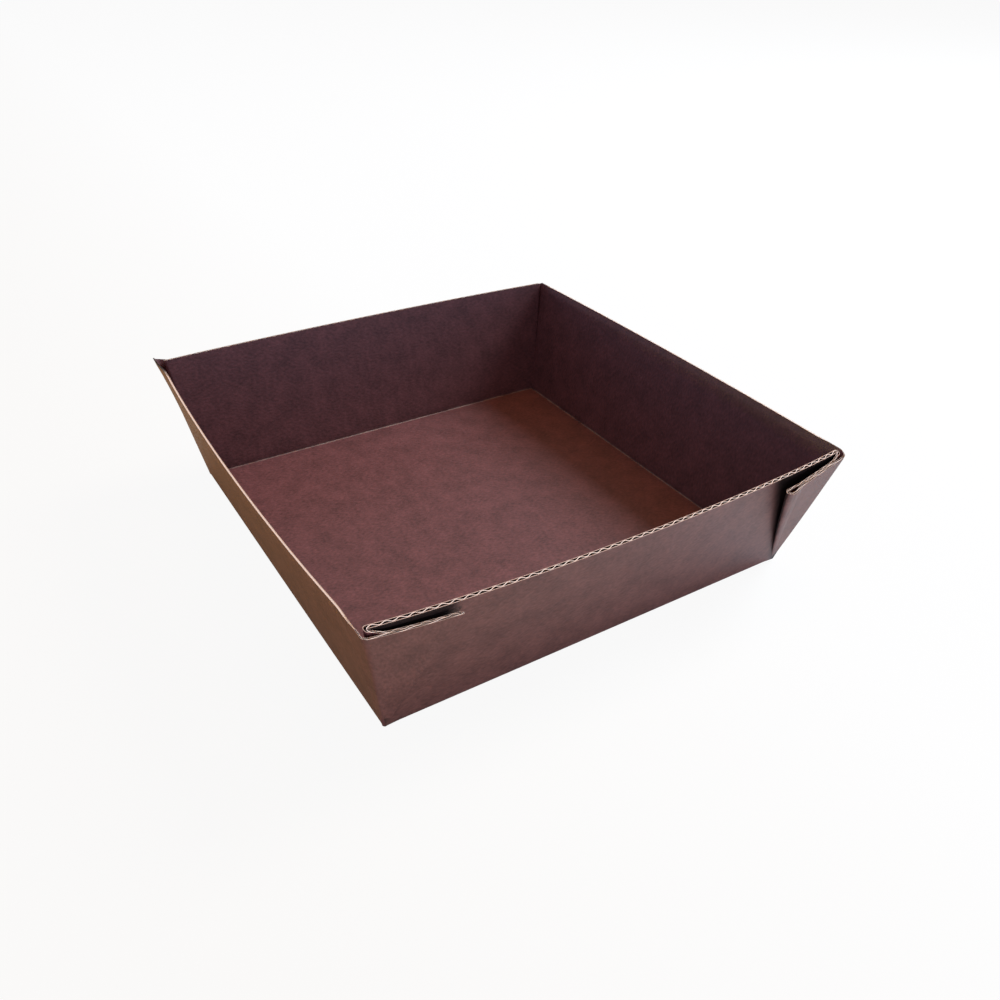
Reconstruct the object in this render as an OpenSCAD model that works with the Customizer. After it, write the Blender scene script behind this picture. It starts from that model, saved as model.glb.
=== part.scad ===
// Square flared tray folded from one sheet of fine corrugated board.
// The four corners aren't cut: each is folded double and laid on the outside
// of the front or the back wall, so the tray holds liquid batter.
// Origin: middle of the floor's underside. X and Y run along the walls, Z is up.

/* [Tray] */
// Width across the rim, outside the walls
rim_w = 150; // [140:1:170]
// Width across the floor, outside the walls
base_w = 134; // [120:1:138]
// Height of the rim above the table
tray_h = 41.5; // [34:0.5:55]
// How far the middle of each wall stands out beyond its corners, at the rim
bow = 2.8; // [1:0.1:4]
// Distance along the rim from a corner to where its wall bends into the bow
bow_from = 30; // [28:1:34]

/* [Board] */
// Thickness of the corrugated board
board_t = 1.1; // [0.9:0.05:1.6]
// Thickness of each of the two flat liners
liner_t = 0.2; // [0.15:0.01:0.25]
// Thickness of the wavy sheet between the liners
medium_t = 0.2; // [0.15:0.01:0.25]
// Distance from one flute to the next
flute_pitch = 3.27; // [2.8:0.01:3.8]
// Outside radius of the pressed crease round the floor
crease_r = 1; // [0.6:0.1:1.5]
// Height above the floor's crease at which the wall's flutes open out
crease_h = 3; // [2:0.5:5]

/* [Corner flaps] */
// Length of the fold that runs up each flap, from the base corner to its tip
fold_len = 41; // [38:0.5:42]
// Gap between a wall and the flap that lies against it
flap_gap = 0.3; // [0.2:0.05:0.6]
// Gap between the two layers of a flap
ply_gap = 0.16; // [0.1:0.02:0.3]
// Gap between the turned end of a wall and the wall next to it
end_gap = 0.3; // [0.2:0.05:0.6]
// Inside radius of the bend from a flap to the side wall
bend_r = 1.2; // [0.8:0.1:2]
// Height of the flaps' lowest points above the rounded crease
flap_lift = 0.2; // [0.1:0.05:0.8]
// How far a flap stands proud of its wall at the base corner
press_t = 0.3; // [0.2:0.05:1]
// Slope at which a flap is pressed thin towards the base corner
press_a = 15; // [10:1:25]

/* [Hidden] */
$fn = 32;
liner_colour = "#6b4f4c";
// Outward lean of the middle of each wall, and its length up the slope
flare = (rim_w - base_w) / 2;
lean = atan((flare + bow) / tray_h);
wall_l = norm([flare + bow, tray_h]);
corner_l = norm([flare, flare, tray_h]);
// A wall bends along the line from its base corner to the rim at bend_u
bend_u = rim_w / 2 - bow_from;
bend_up_a = atan((base_w / 2 - bend_u) / wall_l);
// The corner's line, in the frame of the wall's middle turned to run up that bend
corner_v = flare * sin(lean) + tray_h * cos(lean);
corner_in = tray_h * sin(lean) - flare * cos(lean);
corner_x = flare * cos(bend_up_a) + corner_v * sin(bend_up_a);
corner_y = corner_v * cos(bend_up_a) - flare * sin(bend_up_a);
bow_a = atan(corner_in / corner_x);
// Angles up the wall's end, from the corner's line to the bend and to the flutes
bend_a = atan(norm([corner_x, corner_in]) / corner_y);
end_a = bend_a - bend_up_a;
// Angle turned from one wall to the next, across the corner's own line
end_normal = cross([flare, -flare, tray_h], [bend_u - base_w / 2, -flare - bow, tray_h]);
turn_a = acos((pow(end_normal[2], 2) - 2 * end_normal[0] * end_normal[1]) / (end_normal * end_normal));
// A flap's fold halves what is left of the sheet's square corner
fold_a = 45 - end_a;
// Ends of the flap's top edge, in the corner's own frame
rim_pt = [0, corner_l];
tip_pt = fold_len * [-sin(fold_a), cos(fold_a)];
edge_dir = (tip_pt - rim_pt) / norm(tip_pt - rim_pt);
// Levels of the layers, counted outwards from the wall's outer face
inner_ply = flap_gap + board_t / 2;
outer_ply = inner_ply + ply_gap + board_t;
flap_face = outer_ply + board_t / 2;
// Where the wall's end turns back, and the centre of the flap's outer bend
turn_r = flap_gap / 2 + board_t;
turn_x = -(board_t + end_gap + turn_r);
bend_out = bend_r + board_t;
bend_y = bend_out - flap_face;
bend_x = (bend_y * cos(turn_a) - bend_out) / sin(turn_a);
// Height up the corner to which the flap is pressed solid
press_l = (flap_face - press_t) / tan(press_a);
// How far the side wall runs past the corner's line to reach the bend
side_reach = -(bend_x * cos(turn_a) + bend_y * sin(turn_a));
// Overlap of neighbouring stretches of the one sheet
lap = 0.5;
// Angle beside a wall's bend in which its flutes are left solid
edge_a = 1.5;
// Length that is sure to pass the whole tray
past = 2 * rim_w;

// One hollow beside the wavy sheet, on the side that y points away from
module flute_hollow() {
  wave = board_t / 2 - liner_t - medium_t / 2;
  low = liner_t - board_t / 2;
  top = wave * cos(45) - medium_t / 2;
  polygon([
    [-0.4 * flute_pitch, low],
    [-0.125 * flute_pitch, top],
    [0.125 * flute_pitch, top],
    [0.4 * flute_pitch, low]
  ]);
}

// All the hollows that lie whole between x = from and x = to
module flute_hollows(from, to) {
  first = ceil(from / flute_pitch + 0.4);
  last = floor(to / flute_pitch - 0.4);
  for (i = [first : last]) translate([i * flute_pitch, 0]) flute_hollow();
  for (i = [first : last - 1]) translate([(i + 0.5) * flute_pitch, 0]) mirror([0, 1]) flute_hollow();
}

// Draws a section out along y, over the range given as [from, to]: its y axis becomes z
module along_flutes(range) {
  translate([0, range[1], 0]) rotate([90, 0, 0]) linear_extrude(range[1] - range[0]) children();
}

// Moves a shape drawn flat into the front wall: x along it, y up it, z outwards
module on_front_wall() {
  translate([0, -base_w / 2, 0]) rotate([90 + lean, 0, 0]) children();
}

// Moves a shape to the front wall's right end: y runs up the corner's line
module on_corner() {
  on_front_wall() translate([base_w / 2, 0, 0]) rotate([0, 0, bend_up_a])
    rotate([0, bow_a, 0]) rotate([0, 0, -bend_a]) children();
}

// Draws a section out along y: the section's y axis points into the tray
module along_y(from, to) {
  translate([0, from, 0]) rotate([-90, 0, 0]) linear_extrude(to - from) children();
}

// Half of a ring of board round an inside radius, on the side where x is positive,
// with straight ends of length lap
module half_turn(inside) {
  difference() {
    union() {
      circle(inside + board_t);
      translate([-lap, -inside - board_t]) square([lap, 2 * (inside + board_t)]);
    }
    circle(inside);
    translate([-past, -inside]) square([past, 2 * inside]);
    translate([-past - lap, -past / 2]) square(past);
  }
}

// All that lies on the tray's side of a plane of the frame, at the given level
module inside_of(level) {
  translate([-past, -past, level - 2 * past]) cube(2 * past);
}

// All that lies on the tray's side of the front wall's three planes, moved in by inset
module within_front(inset) {
  intersection() {
    on_front_wall() inside_of(-inset);
    on_corner() inside_of(-inset);
    mirror([1, 0, 0]) on_corner() inside_of(-inset);
  }
}

// Body within the planes of all four walls, from the floor to the given top
module within_walls(inset, top) {
  intersection() {
    within_front(inset);
    rotate([0, 0, 90]) within_front(inset);
    rotate([0, 0, 180]) within_front(inset);
    rotate([0, 0, 270]) within_front(inset);
    translate([-past, -past, inset]) cube([2 * past, 2 * past, top - inset]);
  }
}

// Floor and walls as one shell, its creases rounded
module creased_shell() {
  difference() {
    within_walls(0, tray_h);
    for (quarter = [0 : 3]) rotate([0, 0, 90 * quarter]) crease_rounding();
    within_walls(board_t, tray_h + lap);
  }
}

// Wedge between the corner's line, moved to x = edge_x, and the line turned from it by angle
module wedge(edge_x, angle) {
  polygon([
    [edge_x, -edge_x / tan(angle)],
    [edge_x, past],
    [-past * tan(angle), past]
  ]);
}

// Hollows of the front wall's middle, which open at the rim
module middle_flutes() {
  on_front_wall() translate([0, 0, -board_t / 2])
    along_flutes([crease_h, wall_l + lap]) flute_hollows(-bend_u, bend_u);
}

// Hollows of the front wall's right end, from the bend to the turned end
module end_flutes() {
  on_corner() translate([0, 0, -board_t / 2]) intersection() {
    rotate([0, 0, end_a]) translate([-base_w / 2, 0, 0])
      along_flutes([crease_h, wall_l + lap]) flute_hollows(bend_u, rim_w / 2);
    linear_extrude(board_t, center = true) wedge(turn_x - lap, bend_a - edge_a);
  }
}

// Slot between the turned end of the front wall and the side wall
module end_slot() {
  on_corner() translate([turn_x, 2 * crease_h, -board_t - lap])
    cube([-board_t / sin(turn_a) - turn_x, past, board_t + 2 * lap]);
}

// One layer of a flap, in the corner's frame, its flutes turned by flute_a from y.
// Those that come out at the flap's top edge are open, and the rest are left solid.
module flap_ply(level, edge_x, flute_a) {
  across = [cos(flute_a), sin(flute_a)];
  mouth_from = (rim_pt + edge_dir * (edge_x - lap) / edge_dir[0]) * across;
  mouth_to = (tip_pt - 2 * lap * edge_dir) * across;
  translate([0, 0, level]) difference() {
    linear_extrude(board_t, center = true) wedge(edge_x, fold_a);
    rotate([0, 0, flute_a]) along_flutes([-2 * fold_len, 2 * fold_len])
      flute_hollows(min(mouth_from, mouth_to), max(mouth_from, mouth_to));
  }
}

// The bend from the flap's outer layer round to the side wall
module outer_bend() {
  translate([bend_x, bend_y]) difference() {
    union() {
      circle(bend_out);
      translate([-lap, -bend_out]) square([lap, board_t]);
      rotate(turn_a) translate([0, -bend_out]) square([side_reach + lap, board_t]);
    }
    circle(bend_r);
    // What lies on the tray's side of the two straight ends
    polygon([
      [0, 0],
      [0, -bend_r],
      [-past, -bend_r],
      [-past, past],
      [past * cos(turn_a), past * sin(turn_a)] + [bend_r * sin(turn_a), -bend_r * cos(turn_a)],
      [bend_r * sin(turn_a), -bend_r * cos(turn_a)]
    ]);
  }
}

// Space under the line through two points of the corner's frame
module under_line(from, to) {
  run = past * (to - from) / norm(to - from);
  down = [0, 2 * past];
  translate([0, 0, -past / 2]) linear_extrude(past)
    polygon([from - run, to + run, to + run - down, from - run - down]);
}

// Foot of a flap, where all its layers are pressed into one at the base corner
module pressed_foot() {
  intersection() {
    along_y(0, press_l) {
      translate([-fold_len, -flap_face]) square([fold_len + bend_x, flap_face]);
      translate([bend_x, bend_y]) circle(bend_out);
    }
    linear_extrude(past, center = true) wedge(past, fold_a);
  }
}

// Space under the slope that the flap's foot is pressed to
module under_press() {
  translate([0, 0, press_t]) rotate([press_a, 0, 0])
    translate([-past, -past, -past]) cube([2 * past, 2 * past, past]);
}

// Both layers of a flap with the fold between them and the bend to the side wall
module double_flap() {
  flap_ply(inner_ply, turn_x, -end_a);
  flap_ply(outer_ply, bend_x, 2 * fold_a + end_a);
  along_y(0, corner_l + lap) outer_bend();
  rotate([0, 0, fold_a]) along_y(0, past / 2)
    translate([0, -(inner_ply + outer_ply) / 2]) mirror([1, 0]) half_turn(ply_gap / 2);
}

// The front wall's end where it turns back, above the pressed foot
module turned_end() {
  along_y(press_l, corner_l + lap) translate([turn_x, -flap_gap / 2]) half_turn(flap_gap / 2);
}

// The sheet's corner, folded double and laid on the front wall's right end
module corner_flap() {
  intersection() {
    on_corner() {
      intersection() {
        pressed_foot();
        under_press();
      }
      intersection() {
        under_line(tip_pt, rim_pt);
        double_flap();
        under_press();
      }
      intersection() {
        turned_end();
        under_press();
      }
    }
    translate([-past / 2, -past / 2, crease_r + flap_lift])
      cube([past, past, tray_h - crease_r - flap_lift]);
  }
}

// Takes the sharp edge off the crease between the floor and the front wall
module crease_rounding() {
  half_a = (90 + lean) / 2;
  tangent = crease_r / tan(half_a);
  up = [-sin(lean), cos(lean)];
  out = [-cos(lean), -sin(lean)];
  rotate([90, 0, 90]) linear_extrude(past, center = true)
    translate([-base_w / 2, 0]) difference() {
      polygon([
        [tangent, crease_r],
        tangent * up,
        tangent * up + lap * out,
        lap * (out + [0, -2]),
        [tangent, -lap]
      ]);
      translate([tangent, crease_r]) circle(crease_r);
    }
}

// The whole sheet, folded up
module folded_tray() {
  color(liner_colour) union() {
    difference() {
      creased_shell();
      for (side = [0, 1]) mirror([0, side, 0]) middle_flutes();
      for (side = [0, 1], end = [0, 1]) mirror([end, 0, 0]) mirror([0, side, 0]) {
        end_flutes();
        end_slot();
      }
    }
    for (side = [0, 1], end = [0, 1]) mirror([end, 0, 0]) mirror([0, side, 0]) corner_flap();
  }
}

folded_tray();
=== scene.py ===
"""Square flared baking tray, folded from one sheet of fine corrugated board.

The sheet is made flat, in millimetres, with its centre at the origin and its
flutes along Y: two liners and the wavy medium between them. It is cut to its
outline, and then a fold map carries every point to its place on the tray.
"""

import math

import bmesh
import bpy
import numpy as np
from mathutils import Matrix, Vector


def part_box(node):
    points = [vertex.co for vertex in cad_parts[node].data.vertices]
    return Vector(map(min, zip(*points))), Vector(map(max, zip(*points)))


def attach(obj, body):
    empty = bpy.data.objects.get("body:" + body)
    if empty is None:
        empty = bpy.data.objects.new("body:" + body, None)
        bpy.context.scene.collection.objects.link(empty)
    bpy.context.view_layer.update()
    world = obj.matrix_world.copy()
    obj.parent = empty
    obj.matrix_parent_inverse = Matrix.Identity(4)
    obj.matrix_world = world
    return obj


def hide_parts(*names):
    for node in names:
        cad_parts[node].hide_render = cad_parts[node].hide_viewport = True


bl_info = {
    "name": "Folded Baking Tray",
    "version": (1, 0, 0),
    "blender": (4, 5, 0),
    "location": "View3D > Sidebar > Tray",
    "description": "Folds a square baking tray from one sheet of corrugated board",
    "category": "Add Mesh",
}

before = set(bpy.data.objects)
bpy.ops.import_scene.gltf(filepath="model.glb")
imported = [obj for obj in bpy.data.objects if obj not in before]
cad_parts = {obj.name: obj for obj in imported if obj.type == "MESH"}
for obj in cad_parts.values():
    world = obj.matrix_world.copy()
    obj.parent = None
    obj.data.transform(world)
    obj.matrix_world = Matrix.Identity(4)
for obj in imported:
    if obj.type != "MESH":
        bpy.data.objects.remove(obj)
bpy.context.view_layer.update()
TRAY_LOW, TRAY_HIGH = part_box("folded_tray")
MM = 0.001  # The script's sizes are in millimetres, and Blender's in metres


def linear(code):
    """Linear RGB of an sRGB hex colour."""
    parts = [int(code[i : i + 2], 16) / 255 for i in (0, 2, 4)]
    return [c / 12.92 if c <= 0.04045 else ((c + 0.055) / 1.055) ** 2.4 for c in parts]


def length(name, default, description):
    """A length that a user can set, in millimetres."""
    return bpy.props.FloatProperty(name=name, default=default, description=description, min=0)


def colour(name, code, description):
    """A colour that a user can set."""
    return bpy.props.FloatVectorProperty(
        name=name, default=linear(code), description=description, subtype="COLOR", min=0, max=1
    )


class SheetSizes(bpy.types.PropertyGroup):
    """Sizes of the board and of the folded tray, in millimetres."""

    rim_w: length("Rim width", 150.0, "Width across the rim at its corners")
    base_w: length("Floor width", 134.0, "Width across the floor, outside the walls")
    tray_h: length("Height", round(TRAY_HIGH[2] / MM, 3), "Height of the rim above the table")
    board_t: length("Board", 1.1, "Thickness of the corrugated board")
    liner_t: length("Liner", 0.16, "Thickness of each flat liner")
    medium_t: length("Medium", 0.2, "Thickness of the wavy sheet")
    pitch: length("Flute pitch", 3.27, "Distance from one flute to the next")
    crease_r: length("Crease radius", 0.7, "Radius at which the board turns round the floor")
    front_bow: length("Front bow", 4.0, "How far the front rim bows out")
    back_bow: length("Back bow", 2.2, "How far the back rim bows out")
    left_bow: length("Left bow", 3.2, "How far the left rim bows out")
    right_bow: length("Right bow", 1.6, "How far the right rim bows out")


class SheetColours(bpy.types.PropertyGroup):
    """Colours of the sheet's faces and of its cut edges."""

    inside: colour("Inside", "5f393c", "Coated face inside the tray")
    outside: colour("Outside", "66453f", "Coated face outside the tray")
    # The paper's own brown inside the flutes, made darker than its cut edges as painted shade in the narrow
    # flutes
    kraft: colour("Kraft", "4a3128", "Uncoated faces inside the flutes")
    edge: colour("Liner edge", "c9aea2", "Cut edges of the liners")
    core: colour("Core", "f0dcd2", "Cut edges of the wavy sheet, and the side rims")
    table_warm: colour("Table, left", "a08a70", "Table beside the left wall")
    table_cool: colour("Table, right", "dcdfe6", "Table in front of the tray and to its right")


class Sheet:
    """Sizes that follow from the ones that can be set."""

    def __init__(self, sizes):
        for key in sizes.bl_rna.properties.keys():
            if key not in {"rna_type", "name"}:
                setattr(self, key, getattr(sizes, key))
        flare = (self.rim_w - self.base_w) / 2
        self.lean = math.atan(flare / self.tray_h)
        # The sheet's middle layer turns up a little inside the outer corner
        self.half = self.base_w / 2 - self.board_t / 2 * (1 / math.cos(self.lean) - math.tan(self.lean))
        self.wall = math.hypot(flare, self.tray_h) - (self.base_w / 2 - self.half)
        self.end_a = math.atan(math.sin(self.lean))
        self.corner_l = self.wall / math.cos(self.end_a)
        self.turn = math.acos(math.sin(self.lean) ** 2)
        self.reach = self.half + self.wall


# The four corners, by the signs of x and y
CORNERS = [(-1, -1), (1, -1), (-1, 1), (1, 1)]

# Places of the lines that score the sheet round each crease, so that it turns smoothly
CREASE_LINES = (-1.3, -0.7, -0.35, 0, 0.35, 0.7, 1.3)
CREASE_LOSS = 0.45  # Share of its thickness that the board loses in a pressed crease
FLAP_LOSS = 0.45  # The same for the two layers of a flap
RIM_LOSS = 0.5  # The same along the side rims
TIP_REACH = 11.0  # Length of side wall that a curled tip takes with it
TIP_LAYER = 5.0  # Length of the flap's outer layer that it takes with it
INNER_DROP = 2.0  # How far the inner layer's edge drops beside the turn, over INNER_RUN
INNER_RUN = 5.5

# Lamps: name, place and size in metres, watts, colour. The two that lie below the rim
# light the outer walls alone, as a pale table top would.
LAMPS = (
    ("window", (1.05, 0.03, 0.95), 0.5, 23.8, (0.86, 0.97, 1.03)),
    ("warm_room", (0.3, 0.2, 1.3), 0.5, 3.7, (1.0, 0.4, 0.05)),
    ("warm_bounce", (-0.38, 0.16, 0.028), 0.05, 0.6, (1.0, 0.79, 0.2)),
    ("front_bounce", (-0.2, -0.5, 0.028), 0.05, 0.9, (1.0, 0.9, 1.0)),
)
# Sky: cool light from low down for the walls, and warm light from above for the floor
SKY_LOW, SKY_HIGH, SKY_STRENGTH = (0.84, 1.1, 1.65, 1), (1.08, 0.83, 0.62, 1), 0.36
CREASE_HIGHLIGHT = (0.3, 0.22, 0.2)  # Pale colour of the painted highlight along a crease

# How each flap lies, in millimetres at the rim: the height of its two layers above the
# wall's middle, the slack loop at its fold, how far the fold lies from the corner and
# stands open, how long it is, and how far the corner's tip sticks out and up
FLAPS = {
    (-1, -1): {
        "inner": 1.8, "outer": 2.5, "loop": 0.0, "reach": 23.0, "lift": 0.3,
        "length": 43.0, "tip_out": 0.8, "tip_up": 0.0,
    },
    (1, -1): {
        "inner": 1.6, "outer": 2.5, "loop": 0.45, "reach": 26.5, "lift": 2.2,
        "length": 45.0, "tip_out": 0.6, "tip_up": 0.0,
    },
    (-1, 1): {
        "inner": 1.5, "outer": 2.3, "loop": 0.2, "reach": 24.0, "lift": 0.4,
        "length": 42.0, "tip_out": 2.3, "tip_up": 1.8,
    },
    (1, 1): {
        "inner": 1.4, "outer": 2.2, "loop": 0.2, "reach": 24.0, "lift": 0.3,
        "length": 42.0, "tip_out": 0.0, "tip_up": 0.0,
    },
}


def rounded_path(corners, steps):
    """Points of a path whose corners, each (x, y, radius), are rounded with arcs."""
    pts = [np.array(c[:2], float) for c in corners]
    out = [pts[0]]
    for i in range(1, len(pts) - 1):
        back, ahead = pts[i - 1] - pts[i], pts[i + 1] - pts[i]
        back /= np.linalg.norm(back)
        ahead /= np.linalg.norm(ahead)
        opening = math.acos(float(np.clip(back @ ahead, -1, 1)))
        radius = corners[i][2]
        tangent = radius / math.tan(opening / 2)
        middle = back + ahead
        centre = pts[i] + middle / np.linalg.norm(middle) * radius / math.sin(opening / 2)
        start = pts[i] + back * tangent - centre
        end = pts[i] + ahead * tangent - centre
        sweep = math.pi - opening
        for k in range(steps + 1):
            t = k / steps
            mix = start * math.sin((1 - t) * sweep) + end * math.sin(t * sweep)
            out.append(centre + mix / math.sin(sweep))
    out.append(pts[-1])
    return np.array(out)


class CornerFold:
    """Path of the sheet round one corner, as seen along the corner's line at the rim.

    x runs along the front wall, away from its middle, and w runs outwards. Every
    ray from the base corner keeps its place on the path, so that the fold is a cone.
    """

    LEG = 6.0  # Length of plain wall at either end of the path
    STEPS = 8  # Steps of each rounded corner
    TURN_POINT = 6  # Point of the path in the turn out of the front wall
    BEND_POINT = -6  # Point of the path in the bend into the side wall

    def __init__(self, sheet, inner, outer, loop, reach, lift, length, tip_out, tip_up):
        self.radius = sheet.corner_l
        self.reach = reach
        self.lift = lift
        self.length = length
        self.tip = np.array([tip_out, 0, tip_up])
        self.start = sheet.end_a - self.LEG / self.radius
        points = self.path(sheet, inner, outer, loop, reach, lift)
        run = np.linalg.norm(np.diff(points, axis=0), axis=1)
        points = points[np.concatenate([[True], run > 1e-6])]
        run = np.concatenate([[0], np.cumsum(run[run > 1e-6])])
        total = math.pi / 2 - 2 * self.start
        self.points = points
        self.angles = self.start + run / run[-1] * total
        heading = np.gradient(points, axis=0)
        self.headings = heading / np.linalg.norm(heading, axis=1)[:, None]
        self.fold_at = float(self.angles[np.argmin(points[:, 0] - 0.01 * np.arange(len(points)))])
        self.turn_at = float(self.angles[self.TURN_POINT])
        self.bend_at = float(self.angles[self.BEND_POINT])

    def path(self, sheet, inner, outer, loop, reach, lift):
        """The path: front wall, turn, inner layer, fold, outer layer, side wall."""
        turn_r, turn_x, fold_x = 0.42, -1.15, -reach
        gap = outer - inner
        swell = gap / 2 + loop
        middle = inner + gap / 2 + lift
        side = np.array([math.cos(sheet.turn), -math.sin(sheet.turn)]) * self.LEG
        return rounded_path(
            [
                (-self.LEG, 0, 0),
                (turn_x, 0, turn_r),
                (turn_x, 2 * turn_r, turn_r),
                (turn_x - 3.2, inner + 0.12 * lift, 2.5),
                (fold_x + 6 * swell, inner + 0.8 * lift, 3.0),
                (fold_x + 2.4 * swell, middle - swell * 0.96, 1.5),
                (fold_x, middle - swell, swell * 0.95),
                (fold_x, middle + swell, swell * 0.95),
                (fold_x + 2.4 * swell, middle + swell * 0.96, 1.5),
                (fold_x + 6 * swell, outer + 0.8 * lift, 3.0),
                (-outer / math.tan(sheet.turn), outer, 1.2),
                (side[0], side[1], 0),
            ],
            self.STEPS,
        )


def fold_corner(sheet, fold, p, v):
    """Points and normals of the corner piece, p and v past the creases of its two walls."""
    sin_l, cos_l = math.sin(sheet.lean), math.cos(sheet.lean)
    sin_e, cos_e = math.sin(sheet.end_a), math.cos(sheet.end_a)
    along = np.array([1.0, 0, 0])
    up = np.array([0, sin_l, cos_l])
    out = np.array([0, cos_l, -sin_l])
    line = along * sin_e + up * cos_e
    side = along * cos_e - up * sin_e
    r, angle = np.hypot(p, v), np.arctan2(p, v)
    at = [np.interp(angle, fold.angles, fold.points[:, i]) / fold.radius for i in (0, 1)]
    head = [np.interp(angle, fold.angles, fold.headings[:, i]) for i in (0, 1)]
    psi, omega = -at[0], at[1]
    in_plane = np.cos(psi)[:, None] * line - np.sin(psi)[:, None] * side
    ray = np.cos(omega)[:, None] * in_plane + np.sin(omega)[:, None] * out
    across = np.sin(psi)[:, None] * line + np.cos(psi)[:, None] * side
    normal = head[1][:, None] * across - head[0][:, None] * out
    return r[:, None] * ray, normal


def tip_share(sheet, fold, place, angle, in_corner):
    """How much each point is moved by the corner's curled tip: most at the corner's rim."""
    corner = sheet.half + np.maximum(place[:, 2], 0) * math.tan(sheet.lean)
    along = np.clip(1 - (corner - place[:, 1]) / TIP_REACH, 0, 1)
    over = np.where(in_corner, np.maximum(fold.bend_at - angle, 0) * fold.radius, 0)
    share = along * along * (3 - 2 * along) * np.clip(1 - over / TIP_LAYER, 0, 1)
    start = 0.55  # The tip starts to curl at this share of the height
    return share * np.clip((place[:, 2] / sheet.tray_h - start) / (1 - start), 0, 1.1) ** 2


def crease(sheet, run, width):
    """A wall's rise out of the floor: (outwards, up) and the normal, run past the crease.

    The rounding fades over the last 4 mm of the crease's width, towards the corner.
    """
    turn = math.pi / 2 - sheet.lean
    radius = np.maximum(sheet.crease_r * np.clip(width / 4, 0, 1), 0.02)
    tangent = radius * math.tan(turn / 2)
    bend = np.clip((run + tangent) / (2 * tangent), 0, 1) * turn
    past = np.maximum(run - tangent, 0)
    short = np.minimum(run + tangent, 0)
    outwards = short - tangent + radius * np.sin(bend) + past * math.cos(turn)
    up = radius * (1 - np.cos(bend)) + past * math.sin(turn)
    return outwards, up, np.sin(bend), np.cos(bend)


def press(sheet, x, y):
    """How much of its thickness the board keeps at a point of the flat sheet."""
    p, v = np.abs(x) - sheet.half, np.abs(y) - sheet.half
    dent, edge = 0.9, 2.5  # Half widths of a crease's dent and of the pressed rim
    keep = 1 - CREASE_LOSS * np.exp(-((p / dent) ** 2)) * (v < 0)
    keep *= 1 - CREASE_LOSS * np.exp(-((v / dent) ** 2)) * (p < 0)
    rim = np.clip((p - sheet.wall + edge) / edge, 0, 1)
    return keep * (1 - RIM_LOSS * rim * rim * (3 - 2 * rim))


def fold(sheet, folds, flat):
    """Carries points (x, y, height over the middle layer) of the flat sheet to the tray."""
    x, y, h = flat.T
    p, v = np.abs(x) - sheet.half, np.abs(y) - sheet.half
    angle = np.arctan2(p, v)
    first = folds[CORNERS[0]]
    in_corner = (p > 0) & (v > 0) & (angle > first.start) & (angle < math.pi / 2 - first.start)
    side = (p > v) & ~in_corner
    place, normal = np.zeros_like(flat), np.zeros_like(flat)
    # Floor with its side walls, and floor with its front and back walls
    for mask, run, other, axis in ((side, p, v, 0), (~side & ~in_corner, v, p, 1)):
        outwards, up, lean_n, up_n = crease(sheet, run[mask], -other[mask])
        place[mask, axis] = sheet.half + outwards
        place[mask, 1 - axis] = sheet.half + other[mask]
        place[mask, 2] = up
        normal[mask, axis] = -lean_n
        normal[mask, 2] = up_n
    h = h * press(sheet, x, y)
    for corner in CORNERS:
        flap = folds[corner]
        quarter = (np.sign(x) == corner[0]) & (np.sign(y) == corner[1])
        mask = in_corner & quarter
        ray, normal[mask] = fold_corner(sheet, flap, p[mask], v[mask])
        place[mask] = ray + np.array([sheet.half, sheet.half, 0])
        # The flap's layers are pressed thin, from just past the turn to the side wall
        ply = np.clip((angle[mask] - flap.turn_at) / 0.05, 0, 1)
        ply *= np.clip((math.pi / 2 - first.start - angle[mask]) / 0.12, 0, 1)
        h[mask] *= 1 - FLAP_LOSS * ply
        mask = (mask | side) & quarter
        share = tip_share(sheet, flap, place[mask], angle[mask], in_corner[mask])
        place[mask] += share[:, None] * flap.tip
    place += normal * h[:, None]
    place[:, 2] += sheet.board_t / 2
    place[:, 0] *= np.where(x < 0, -1, 1)
    place[:, 1] *= np.where(y < 0, -1, 1)
    return bow(sheet, place)


def marks(sheet, folds, flat):
    """Three values for each point: painted highlight along a crease, painted shade under a flap, painted
    shade at a curled tip.
    """
    x, y = flat[:, 0], flat[:, 1]
    p, v = np.abs(x) - sheet.half, np.abs(y) - sheet.half
    line, blur = 0.6, 2.5  # Half width of a painted crease highlight, and the width of the painted shadow's edge under a flap
    crease_highlight = np.exp(-((p / line) ** 2)) * (v < 0) + np.exp(-((v / line) ** 2)) * (p < 0)
    angle, r = np.arctan2(p, v), np.hypot(p, v)
    flap_shade, tip_shade = np.zeros(len(x)), np.zeros(len(x))
    for corner in CORNERS:
        flap = folds[corner]
        quarter = (np.sign(x) == corner[0]) & (np.sign(y) == corner[1])
        # Painted shade on the wall where a flap lies over it, fading out over the shadow's edge
        mask = quarter & (v > 0) & (angle < flap.fold_at)
        inside = (flap.reach / flap.radius - (sheet.end_a - angle[mask])) * r[mask]
        flap_shade[mask] = np.clip((inside + flap.lift) / blur, 0, 1)
        # Painted shade at the corner whose tip curls up, near its rim
        if flap.tip[2] > 0:
            mask = quarter & (p > sheet.wall - 2)
            tip_shade[mask] = np.clip((v[mask] + 3) / 3, 0, 1)
    return crease_highlight, flap_shade, tip_shade


def bow(sheet, place):
    """Lets the walls bow out between their corners, most at the rim."""
    x, y, z = place.T
    rise = np.clip(z / sheet.tray_h, 0, 1.1)
    half = sheet.rim_w / 2

    def arch(along):
        t = np.clip(np.abs(along) / half, 0, 1)
        return 0.85 * (1 - t**2) + 0.15 * (1 - t**8)

    def near(side):
        return np.clip(side / sheet.half, 0, 1) ** 6

    out = place.copy()
    front, back, left, right = near(-y), near(y), near(-x), near(x)
    out[:, 1] += rise * arch(x) * (back * sheet.back_bow - front * sheet.front_bow)
    out[:, 0] += rise * arch(y) * (right * sheet.right_bow - left * sheet.left_bow)
    return out


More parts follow.
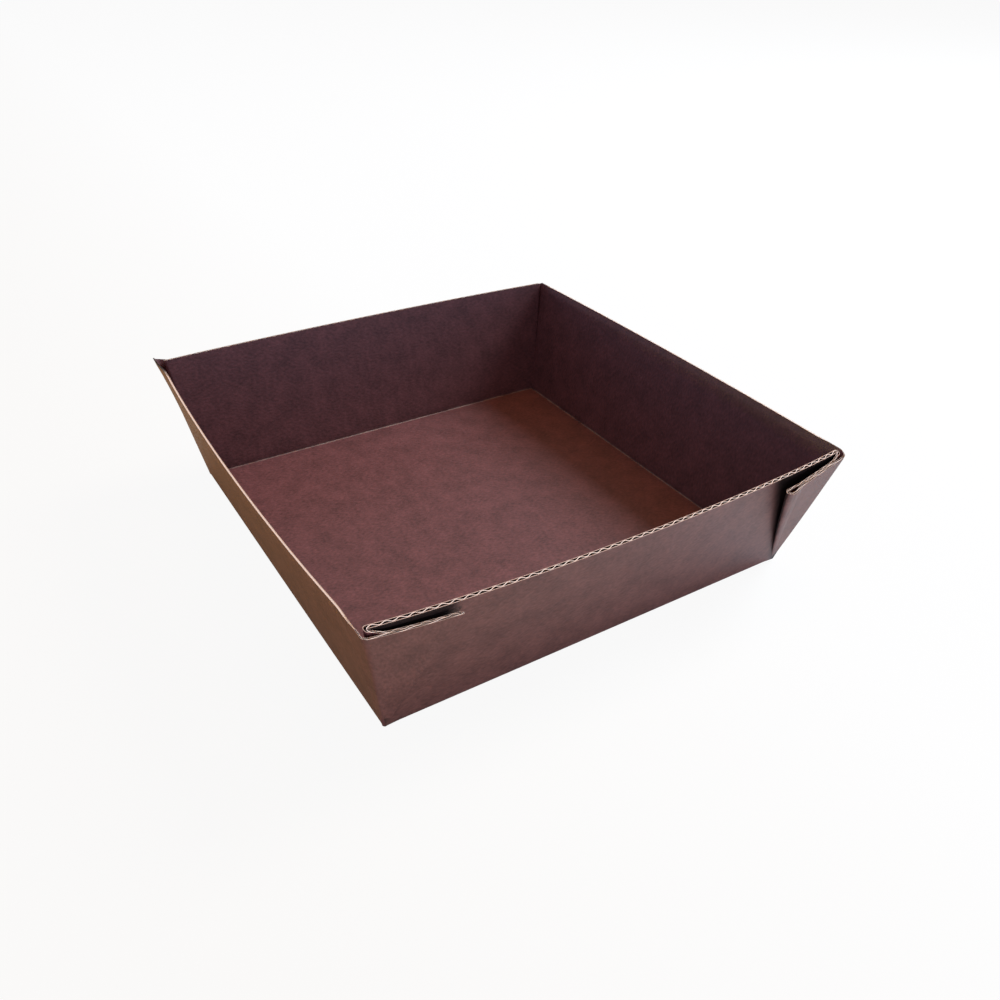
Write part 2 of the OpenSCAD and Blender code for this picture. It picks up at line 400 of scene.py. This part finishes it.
def add(tree, kind, inputs=None, **settings):
    """Adds a node with its settings, and sets or links its inputs by name or number."""
    node = tree.nodes.new(kind)
    for key, value in settings.items():
        setattr(node, key, value)
    for key, value in (inputs or {}).items():
        if isinstance(key, int):
            socket = node.inputs[key]
        else:
            socket = next(i for i in node.inputs if i.name == key and i.enabled)
        if isinstance(value, bpy.types.NodeSocket):
            tree.links.new(value, socket)
        else:
            socket.default_value = value
    return node


def layer_tree():
    """Geometry Nodes tree of one flat layer: a grid that rises and falls with the flutes."""
    tree = bpy.data.node_groups.new("Fluted Layer", "GeometryNodeTree")
    face = tree.interface
    face.new_socket("Geometry", in_out="OUTPUT", socket_type="NodeSocketGeometry")
    for name, kind in (
        ("Width", "NodeSocketFloat"),
        ("Depth", "NodeSocketFloat"),
        ("Columns", "NodeSocketInt"),
        ("Rows", "NodeSocketInt"),
        ("Pitch", "NodeSocketFloat"),
        ("Wave", "NodeSocketFloat"),
        ("Level", "NodeSocketFloat"),
        ("Material", "NodeSocketMaterial"),
    ):
        face.new_socket(name, in_out="INPUT", socket_type=kind)
    given = add(tree, "NodeGroupInput").outputs
    grid = add(
        tree,
        "GeometryNodeMeshGrid",
        {
            "Size X": given["Width"],
            "Size Y": given["Depth"],
            "Vertices X": given["Columns"],
            "Vertices Y": given["Rows"],
        },
    )
    place = add(tree, "GeometryNodeInputPosition")
    split = add(tree, "ShaderNodeSeparateXYZ", {0: place.outputs[0]})
    turns = add(tree, "ShaderNodeMath", {0: split.outputs["X"], 1: given["Pitch"]}, operation="DIVIDE")
    angle = add(tree, "ShaderNodeMath", {0: turns.outputs[0], 1: math.tau}, operation="MULTIPLY")
    swing = add(tree, "ShaderNodeMath", {0: angle.outputs[0]}, operation="COSINE")
    height = add(
        tree,
        "ShaderNodeMath",
        {0: swing.outputs[0], 1: given["Wave"], 2: given["Level"]},
        operation="MULTIPLY_ADD",
    )
    lift = add(tree, "ShaderNodeCombineXYZ", {"Z": height.outputs[0]})
    moved = add(
        tree, "GeometryNodeSetPosition", {"Geometry": grid.outputs["Mesh"], "Offset": lift.outputs[0]}
    )
    real = add(tree, "GeometryNodeRealizeInstances", {0: moved.outputs[0]})
    painted = add(
        tree, "GeometryNodeSetMaterial", {"Geometry": real.outputs[0], "Material": given["Material"]}
    )
    add(tree, "NodeGroupOutput", {"Geometry": painted.outputs[0]})
    return tree


def flat_layer(name, material, **values):
    """One layer of the flat board as a plain mesh, made by the layer tree."""
    tree = bpy.data.node_groups.get("Fluted Layer") or layer_tree()
    holder = bpy.data.objects.new(name, bpy.data.meshes.new(name))
    bpy.context.scene.collection.objects.link(holder)
    modifier = holder.modifiers.new("Layer", "NODES")
    modifier.node_group = tree
    for item in tree.interface.items_tree:
        if item.in_out == "INPUT":
            value = material if item.name == "Material" else values[item.name]
            modifier[item.identifier] = value
    mesh = evaluated_mesh(holder)
    holder.modifiers.remove(modifier)
    bpy.data.objects.remove(holder)
    return mesh


def evaluated_mesh(piece):
    """A plain mesh of an object as its modifiers leave it."""
    return bpy.data.meshes.new_from_object(piece.evaluated_get(bpy.context.evaluated_depsgraph_get()))


def cut(bm, faces, point, normal, clear=False):
    """Cuts the faces along the line through a point, and clears what lies past it."""
    parts = list({e for f in faces for e in f.edges} | {v for f in faces for v in f.verts}) + faces
    done = bmesh.ops.bisect_plane(
        bm, geom=parts, dist=1e-5, plane_co=(*point, 0), plane_no=(*normal, 0), clear_outer=clear
    )
    return [g for g in done["geom"] if g.is_valid and isinstance(g, bmesh.types.BMFace)]


def corner_faces(bm, sheet, corner):
    """The faces past both creases at one corner, with the angle of each from the front wall."""
    found = []
    for face in bm.faces:
        centre = face.calc_center_median()
        p, v = centre.x * corner[0] - sheet.half, centre.y * corner[1] - sheet.half
        if p > 0 and v > 0:
            found.append((face, math.atan2(p, v)))
    return found


def cut_corner(bm, sheet, corner, fold):
    """Cuts one corner of the flat sheet to its outline and scores it along its folds."""
    base = Vector((corner[0] * sheet.half, corner[1] * sheet.half))

    def ray(angle):
        return Vector((corner[0] * math.sin(angle), corner[1] * math.cos(angle)))

    def away(start, end):
        """Normal of a line, on the side away from the base corner."""
        run = end - start
        normal = Vector((run.y, -run.x)).normalized()
        return normal if normal.dot(start - base) > 0 else -normal

    def trim(first, last, start, end):
        """Deletes what lies past the line from start to end, between two angles."""
        normal = away(start, end)
        cut(bm, [f for f, a in corner_faces(bm, sheet, corner) if first < a < last], start, normal)
        past = [
            f
            for f, a in corner_faces(bm, sheet, corner)
            if first < a < last and normal.dot(f.calc_center_median().xy - start) > 0
        ]
        bmesh.ops.delete(bm, geom=past, context="FACES")

    step = fold.turn_at + INNER_RUN / fold.radius
    rim_front = base + Vector((corner[0] * math.tan(fold.turn_at), corner[1])) * sheet.wall
    rim_side = base + Vector((corner[0], corner[1] * math.tan(sheet.end_a))) * sheet.wall
    drop = base + ray(step) * (sheet.corner_l - INNER_DROP)
    tip = base + ray(fold.fold_at) * fold.length
    # The inner layer's edge ends a little short of the tip, so that the outer one hides it
    low_tip = base + ray(fold.fold_at) * (fold.length - 0.5)
    for end in (tip, drop):
        faces = [f for f, a in corner_faces(bm, sheet, corner)]
        cut(bm, faces, base, Vector(end - base).orthogonal())
    trim(0, step, rim_front, drop)
    trim(step, fold.fold_at, drop, low_tip)
    trim(fold.fold_at, math.pi / 2, rim_side, tip)
    faces = [f for f, a in corner_faces(bm, sheet, corner)]
    for angle in fold.angles:
        across = Vector((corner[0] * math.cos(angle), -corner[1] * math.sin(angle)))
        faces = cut(bm, faces, base, across)


def outline(bm, sheet, folds):
    """Cuts a flat layer to the sheet's outline and scores its creases and folds."""
    for sign in (-1, 1):
        for axis in (0, 1):
            normal = [0, 0]
            normal[axis] = sign
            edge = [0, 0]
            edge[axis] = sign * sheet.reach
            cut(bm, bm.faces[:], edge, normal, clear=True)
            for past in CREASE_LINES:
                line = [0, 0]
                line[axis] = sign * (sheet.half + past)
                near = [f for f in bm.faces if abs(f.calc_center_median()[axis] - line[axis]) < 6]
                cut(bm, near, line, normal)
    for corner in CORNERS:
        cut_corner(bm, sheet, corner, folds[corner])


def finish_layer(name, sheet, folds, bm, thickness, materials):
    """Gives a cut layer its thickness, folds it, and makes it a piece of the tray."""
    mesh = bpy.data.meshes.new(name)
    bm.to_mesh(mesh)
    bm.free()
    mesh.materials.clear()
    for material in materials:
        mesh.materials.append(material)
    piece = bpy.data.objects.new(name, mesh)
    bpy.context.scene.collection.objects.link(piece)
    thick = piece.modifiers.new("Thickness", "SOLIDIFY")
    thick.thickness = thickness
    thick.offset = 0
    thick.material_offset = len(materials) - 2
    thick.material_offset_rim = len(materials) - 1
    solid = evaluated_mesh(piece)
    piece.modifiers.clear()
    piece.data = solid
    solid.name = name
    count = len(solid.vertices)
    flat = np.empty(count * 3)
    solid.vertices.foreach_get("co", flat)
    flat = flat.reshape(-1, 3)
    corner_of = np.empty(len(solid.loops), int)
    solid.loops.foreach_get("vertex_index", corner_of)
    uv = flat[corner_of, :2] / (2 * sheet.reach) + 0.5
    solid.uv_layers.new(name="Sheet").data.foreach_set("uv", uv.ravel())
    place_layer(solid, sheet, folds, flat)
    solid.update()
    solid.shade_smooth()
    solid.set_sharp_from_angle(angle=math.radians(50))
    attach(piece, "root")
    return piece


def place_layer(mesh, sheet, folds, flat):
    """Marks the points of a flat layer and carries them to the tray."""
    # Point attributes for the painted highlight along the creases, and for the painted shade under the
    # flaps and at a curled tip
    for key, values in zip(("Worn", "Covered", "Soiled"), marks(sheet, folds, flat)):
        mesh.attributes.new(key, "FLOAT", "POINT").data.foreach_set("value", values)
    mesh.vertices.foreach_set("co", (fold(sheet, folds, flat) * MM).ravel())


def mesh_to_bm(mesh):
    """An editable copy of a mesh, which it takes the place of."""
    bm = bmesh.new()
    bm.from_mesh(mesh)
    bpy.data.meshes.remove(mesh)
    return bm


def read_sheet(context):
    """The sheet's sizes and the fold of each corner."""
    sheet = Sheet(context.scene.tray_sizes)
    folds = {corner: CornerFold(sheet, **FLAPS[corner]) for corner in CORNERS}
    return sheet, folds


def paper_tree(name):
    """An empty material for the board, with its node tree and the place on the flat sheet."""
    material = bpy.data.materials.new(name)
    material.use_nodes = True
    tree = material.node_tree
    tree.nodes.clear()
    return material, tree, add(tree, "ShaderNodeUVMap", uv_map="Sheet").outputs[0]


def scaled(tree, tone, share):
    """A colour times a share, as an output socket."""
    return add(tree, "ShaderNodeVectorMath", {0: tone, "Scale": share}, operation="SCALE").outputs[0]


def liner_material(name, tone, rough, gloss, shaded):
    """Kraft liner with a brown greaseproof coating.

    The eye gets a satin brown, clouded by the pulp under it and flecked by short
    fibres, with a pale painted highlight along a crease and painted shade under a flap.
    """
    material, tree, sheet_uv = paper_tree(name)
    cloud = add(
        tree,
        "ShaderNodeTexNoise",
        {"Vector": sheet_uv, "Scale": 30.0, "Detail": 6.0, "Roughness": 0.68},
    )
    turned = add(
        tree,
        "ShaderNodeMapping",
        {"Vector": sheet_uv, "Rotation": (0, 0, 0.9), "Scale": (170, 300, 1)},
    )
    fibre = add(tree, "ShaderNodeTexNoise", {"Vector": turned.outputs[0], "Scale": 1.0, "Detail": 3.0})
    mixed = add(tree, "ShaderNodeMath", {0: cloud.outputs[0], 1: fibre.outputs[0]}, operation="ADD")
    ramp = add(
        tree,
        "ShaderNodeMapRange",
        {"Value": mixed.outputs[0], "From Min": 0.72, "From Max": 1.28, "To Min": 0.62, "To Max": 1.38},
    )
    shade = scaled(tree, tuple(tone), ramp.outputs[0])
    # Painted highlight along the creases, in patches: the colour is mixed towards a pale one
    crease_highlight = add(tree, "ShaderNodeAttribute", attribute_name="Worn")
    patchy = add(
        tree,
        "ShaderNodeMapRange",
        {"Value": cloud.outputs[0], "From Min": 0.35, "From Max": 0.6, "To Min": 0.1, "To Max": 0.85},
    )
    share = add(
        tree, "ShaderNodeMath", {0: crease_highlight.outputs["Fac"], 1: patchy.outputs[0]}, operation="MULTIPLY"
    )
    paler = add(
        tree,
        "ShaderNodeMix",
        {"Factor": share.outputs[0], "A": shade, "B": CREASE_HIGHLIGHT},
        data_type="VECTOR",
    )
    # Painted shade under a flap: there the colour falls to the given share
    flap_shade = add(tree, "ShaderNodeAttribute", attribute_name="Covered")
    open_share = add(
        tree, "ShaderNodeMapRange", {"Value": flap_shade.outputs["Fac"], "To Min": 1.0, "To Max": shaded}
    )
    base = scaled(tree, paler.outputs[1], open_share.outputs[0])
    bump = add(tree, "ShaderNodeBump", {"Height": fibre.outputs[0], "Strength": 0.3, "Distance": 0.0002})
    shader = add(
        tree,
        "ShaderNodeBsdfPrincipled",
        {
            "Base Color": base,
            "Roughness": rough,
            "Specular IOR Level": gloss,
            "Normal": bump.outputs[0],
        },
    )
    add(tree, "ShaderNodeOutputMaterial", {"Surface": shader.outputs[0]})
    return material


def paper_material(name, tone):
    """Uncoated paper of the cut edges and of the flutes: matt and slightly fuzzy, with painted shade at a
    curled tip.
    """
    material, tree, sheet_uv = paper_tree(name)
    grain = add(tree, "ShaderNodeTexNoise", {"Vector": sheet_uv, "Scale": 400.0, "Detail": 3.0})
    ramp = add(tree, "ShaderNodeMapRange", {"Value": grain.outputs[0], "To Min": 0.85, "To Max": 1.1})
    # Painted shade at a curled tip: the colour falls nearly to black there
    tip_shade = add(tree, "ShaderNodeAttribute", attribute_name="Soiled")
    unshaded = add(tree, "ShaderNodeMapRange", {"Value": tip_shade.outputs["Fac"], "To Min": 1.0, "To Max": 0.06})
    share = add(tree, "ShaderNodeMath", {0: ramp.outputs[0], 1: unshaded.outputs[0]}, operation="MULTIPLY")
    shade = scaled(tree, tuple(tone), share.outputs[0])
    shader = add(tree, "ShaderNodeBsdfPrincipled", {"Base Color": shade, "Roughness": 0.9, "IOR": 1.4})
    add(tree, "ShaderNodeOutputMaterial", {"Surface": shader.outputs[0]})
    return material


class TRAY_OT_liners(bpy.types.Operator):
    """Makes the two coated liners, folded up as the inside and the outside of the tray"""

    bl_idname = "tray.liners"
    bl_label = "Liners"

    def execute(self, context):
        sheet, folds = read_sheet(context)
        colours = context.scene.tray_colours
        paper_material("cut_kraft_core", colours.core)
        edge = paper_material("cut_liner_edge", colours.edge)
        # The flutes' paper: its own brown, made darker as painted shade inside the flutes
        kraft = paper_material("uncoated_kraft", colours.kraft)
        columns = math.ceil(2 * sheet.reach / (sheet.pitch / 6))
        columns += columns % 2
        width = columns * sheet.pitch / 6
        level = (sheet.board_t - sheet.liner_t) / 2
        # Last three: roughness, gloss, and the share of its colour left under a flap, where painted shade
        # darkens it
        for name, side, tone, rough, gloss, shaded in (
            ("inside_liner", 1, colours.inside, 0.42, 0.55, 1.0),
            ("outside_liner", -1, colours.outside, 0.5, 0.6, 0.08),
        ):
            coat = liner_material("coated_" + name, tone, rough, gloss, shaded)
            mesh = flat_layer(
                name,
                coat,
                Width=width,
                Depth=2 * sheet.reach + 2,
                Columns=columns + 1,
                Rows=56,
                Pitch=sheet.pitch,
                Wave=0.007,
                Level=side * level,
            )
            bm = mesh_to_bm(mesh)
            outline(bm, sheet, folds)
            if side < 0:
                bmesh.ops.reverse_faces(bm, faces=bm.faces[:])
            finish_layer(name, sheet, folds, bm, sheet.liner_t, [coat, kraft, edge])
        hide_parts("folded_tray")
        return {"FINISHED"}


class TRAY_OT_medium(bpy.types.Operator):
    """Makes the wavy sheet between the liners, where it shows at the cut edges"""

    bl_idname = "tray.medium"
    bl_label = "Fluted medium"

    def execute(self, context):
        sheet, folds = read_sheet(context)
        core = bpy.data.materials["cut_kraft_core"]
        kraft = bpy.data.materials["uncoated_kraft"]
        columns = math.ceil(2 * sheet.reach / (sheet.pitch / 10))
        columns += columns % 2
        mesh = flat_layer(
            "fluted_medium",
            kraft,
            Width=columns * sheet.pitch / 10,
            Depth=2 * sheet.reach + 2,
            Columns=columns + 1,
            Rows=110,
            Pitch=sheet.pitch,
            Wave=sheet.board_t / 2 - sheet.liner_t - sheet.medium_t / 2,
            Level=0.0,
        )
        bm = mesh_to_bm(mesh)
        self.keep_near_edges(bm, sheet)
        outline(bm, sheet, folds)
        finish_layer("fluted_medium", sheet, folds, bm, sheet.medium_t, [kraft, core])
        return {"FINISHED"}

    def keep_near_edges(self, bm, sheet):
        """Deletes what no cut edge shows: all but a band along the open rims, and the flaps."""
        band, flap_x, flap_y, flap_r = 7, 12, 2, 24
        gone = []
        for face in bm.faces:
            centre = face.calc_center_median()
            p, v = abs(centre.x) - sheet.half, abs(centre.y) - sheet.half
            if v < sheet.wall - band and (p < flap_x or v < flap_y):
                gone.append(face)
            elif p > 0 and v > 0 and math.hypot(p, v) < flap_r:
                gone.append(face)
        bmesh.ops.delete(bm, geom=gone, context="FACES")


class TRAY_OT_rim_strips(bpy.types.Operator):
    """Closes the board along the side rims, where the flutes lie along the cut"""

    bl_idname = "tray.rim_strips"
    bl_label = "Side rims"

    def execute(self, context):
        sheet, folds = read_sheet(context)
        core = bpy.data.materials["cut_kraft_core"]
        bm = bmesh.new()
        half_gap = sheet.board_t / 2 - sheet.liner_t * 0.5
        end = sheet.half + sheet.wall * math.tan(sheet.end_a)
        deep, sunk = -0.5, -0.03  # The strip's two long sides, measured from the rim
        steps = 90
        for sign in (-1, 1):
            rows = []
            for i in range(steps + 1):
                y = -end + 2 * end * i / steps
                ring = []
                for x, h in ((deep, -1), (sunk, -1), (sunk, 1), (deep, 1)):
                    ring.append(bm.verts.new((sign * (sheet.reach + x), y, h * half_gap)))
                rows.append(ring)
            for a, b in zip(rows, rows[1:]):
                for k in range(4):
                    bm.faces.new((a[k], a[(k + 1) % 4], b[(k + 1) % 4], b[k]))
            bm.faces.new(rows[0][::-1])
            bm.faces.new(rows[-1])
        bmesh.ops.recalc_face_normals(bm, faces=bm.faces[:])
        mesh = bpy.data.meshes.new("side_rims")
        bm.to_mesh(mesh)
        bm.free()
        mesh.materials.append(core)
        flat = np.array([v.co for v in mesh.vertices], float)
        uv = mesh.uv_layers.new(name="Sheet")
        for loop in mesh.loops:
            uv.data[loop.index].uv = flat[loop.vertex_index, :2] / (2 * sheet.reach) + 0.5
        place_layer(mesh, sheet, folds, flat)
        mesh.update()
        piece = bpy.data.objects.new("side_rims", mesh)
        context.scene.collection.objects.link(piece)
        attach(piece, "root")
        return {"FINISHED"}


class TRAY_OT_stage(bpy.types.Operator):
    """Sets the camera, the lamps, the sky and the table"""

    bl_idname = "tray.stage"
    bl_label = "Stage"

    def execute(self, context):
        scene = context.scene
        self.camera(scene)
        self.table(scene)
        self.lights(scene)
        scene.view_settings.view_transform = "Standard"
        return {"FINISHED"}

    def camera(self, scene):
        """A camera that sees the tray from the photograph's own place."""
        azimuth, elevation, roll = math.radians(-33.39), math.radians(33.73), math.radians(1.87)
        distance, shift_x, shift_y, focal = 292.6, -7.19, 7.47, 32.99
        back = Vector(
            (
                math.sin(azimuth) * math.cos(elevation),
                -math.cos(azimuth) * math.cos(elevation),
                math.sin(elevation),
            )
        )
        level = Vector((math.cos(azimuth), math.sin(azimuth), 0))
        rise = back.cross(level)
        right = level * math.cos(roll) + rise * math.sin(roll)
        up = rise * math.cos(roll) - level * math.sin(roll)
        place = Vector((0, 0, 15)) + back * distance - right * shift_x - up * shift_y
        data = bpy.data.cameras.new("camera")
        data.lens = focal
        data.sensor_width = 36
        data.clip_start = 0.01
        data.clip_end = 20
        camera = bpy.data.objects.new("camera", data)
        turn = Matrix((right, up, back)).transposed().to_4x4()
        camera.matrix_world = Matrix.Translation(place * MM) @ turn
        scene.collection.objects.link(camera)
        scene.camera = camera

    def table(self, scene):
        """A table that is near white to the camera, and throws back warm light on the left."""
        material = bpy.data.materials.new("matt_table")
        material.use_nodes = True
        tree = material.node_tree
        tree.nodes.clear()
        place = add(tree, "ShaderNodeTexCoord")
        split = add(tree, "ShaderNodeSeparateXYZ", {0: place.outputs["Object"]})
        across = add(
            tree, "ShaderNodeMapRange", {"Value": split.outputs["X"], "From Min": -0.11, "From Max": 0.05}
        )
        tint = add(
            tree,
            "ShaderNodeMix",
            {
                "Factor": across.outputs[0],
                "A": (*scene.tray_colours.table_warm, 1),
                "B": (*scene.tray_colours.table_cool, 1),
            },
            data_type="RGBA",
        )
        matt = add(tree, "ShaderNodeBsdfDiffuse", {"Color": tint.outputs[2]})
        white = add(tree, "ShaderNodeEmission", {"Color": (1, 1, 1, 1), "Strength": 1.0})
        path = add(tree, "ShaderNodeLightPath")
        veil = add(
            tree, "ShaderNodeMath", {0: path.outputs["Is Camera Ray"], 1: 0.93}, operation="MULTIPLY"
        )
        seen = add(
            tree, "ShaderNodeMixShader", {0: veil.outputs[0], 1: matt.outputs[0], 2: white.outputs[0]}
        )
        add(tree, "ShaderNodeOutputMaterial", {"Surface": seen.outputs[0]})
        mesh = bpy.data.meshes.new("table")
        half = 6.0
        corners = [(x * half, y * half, 0) for x, y in ((-1, -1), (1, -1), (1, 1), (-1, 1))]
        mesh.from_pydata(corners, [], [(0, 1, 2, 3)])
        mesh.materials.append(material)
        table = bpy.data.objects.new("table", mesh)
        scene.collection.objects.link(table)

    def lights(self, scene):
        """The sky, white to the camera, and the lamps."""
        world = bpy.data.worlds.new("sky")
        scene.world = world
        world.use_nodes = True
        tree = world.node_tree
        tree.nodes.clear()
        place = add(tree, "ShaderNodeTexCoord")
        split = add(tree, "ShaderNodeSeparateXYZ", {0: place.outputs["Generated"]})
        height = add(
            tree, "ShaderNodeMapRange", {"Value": split.outputs["Z"], "From Min": 0.25, "From Max": 0.75}
        )
        tint = add(
            tree,
            "ShaderNodeMix",
            {"Factor": height.outputs[0], "A": SKY_LOW, "B": SKY_HIGH},
            data_type="RGBA",
        )
        plain = add(tree, "ShaderNodeBackground", {"Color": tint.outputs[2], "Strength": SKY_STRENGTH})
        white = add(tree, "ShaderNodeBackground", {"Color": (1, 1, 1, 1), "Strength": 1.0})
        path = add(tree, "ShaderNodeLightPath")
        mix = add(
            tree,
            "ShaderNodeMixShader",
            {0: path.outputs["Is Camera Ray"], 1: plain.outputs[0], 2: white.outputs[0]},
        )
        add(tree, "ShaderNodeOutputWorld", {"Surface": mix.outputs[0]})
        for name, place, size, energy, tone in LAMPS:
            self.lamp(scene, name, place, size, energy, tone)

    def lamp(self, scene, name, place, size, energy, tone):
        """A square soft light that looks at the tray."""
        data = bpy.data.lights.new(name, "AREA")
        data.energy = energy
        data.size = size
        data.color = tone
        lamp = bpy.data.objects.new(name, data)
        lamp.location = place
        lamp.rotation_euler = (-Vector(place)).to_track_quat("-Z", "Y").to_euler()
        scene.collection.objects.link(lamp)


class TRAY_PT_panel(bpy.types.Panel):
    """Lists the tray's pieces and its stage"""

    bl_idname = "TRAY_PT_panel"
    bl_label = "Folded baking tray"
    bl_space_type = "VIEW_3D"
    bl_region_type = "UI"
    bl_category = "Tray"

    def draw(self, context):
        for operator in OPERATORS:
            self.layout.operator(operator.bl_idname)


OPERATORS = [TRAY_OT_liners, TRAY_OT_medium, TRAY_OT_rim_strips, TRAY_OT_stage]
CLASSES = [SheetSizes, SheetColours, *OPERATORS, TRAY_PT_panel]


def register():
    for cls in CLASSES:
        bpy.utils.register_class(cls)
    bpy.types.Scene.tray_sizes = bpy.props.PointerProperty(type=SheetSizes)
    bpy.types.Scene.tray_colours = bpy.props.PointerProperty(type=SheetColours)


def unregister():
    del bpy.types.Scene.tray_colours
    del bpy.types.Scene.tray_sizes
    for cls in reversed(CLASSES):
        bpy.utils.unregister_class(cls)


def main():
    register()
    bpy.ops.tray.liners()
    bpy.ops.tray.medium()
    bpy.ops.tray.rim_strips()
    bpy.ops.tray.stage()


if __name__ == "__main__":
    main()
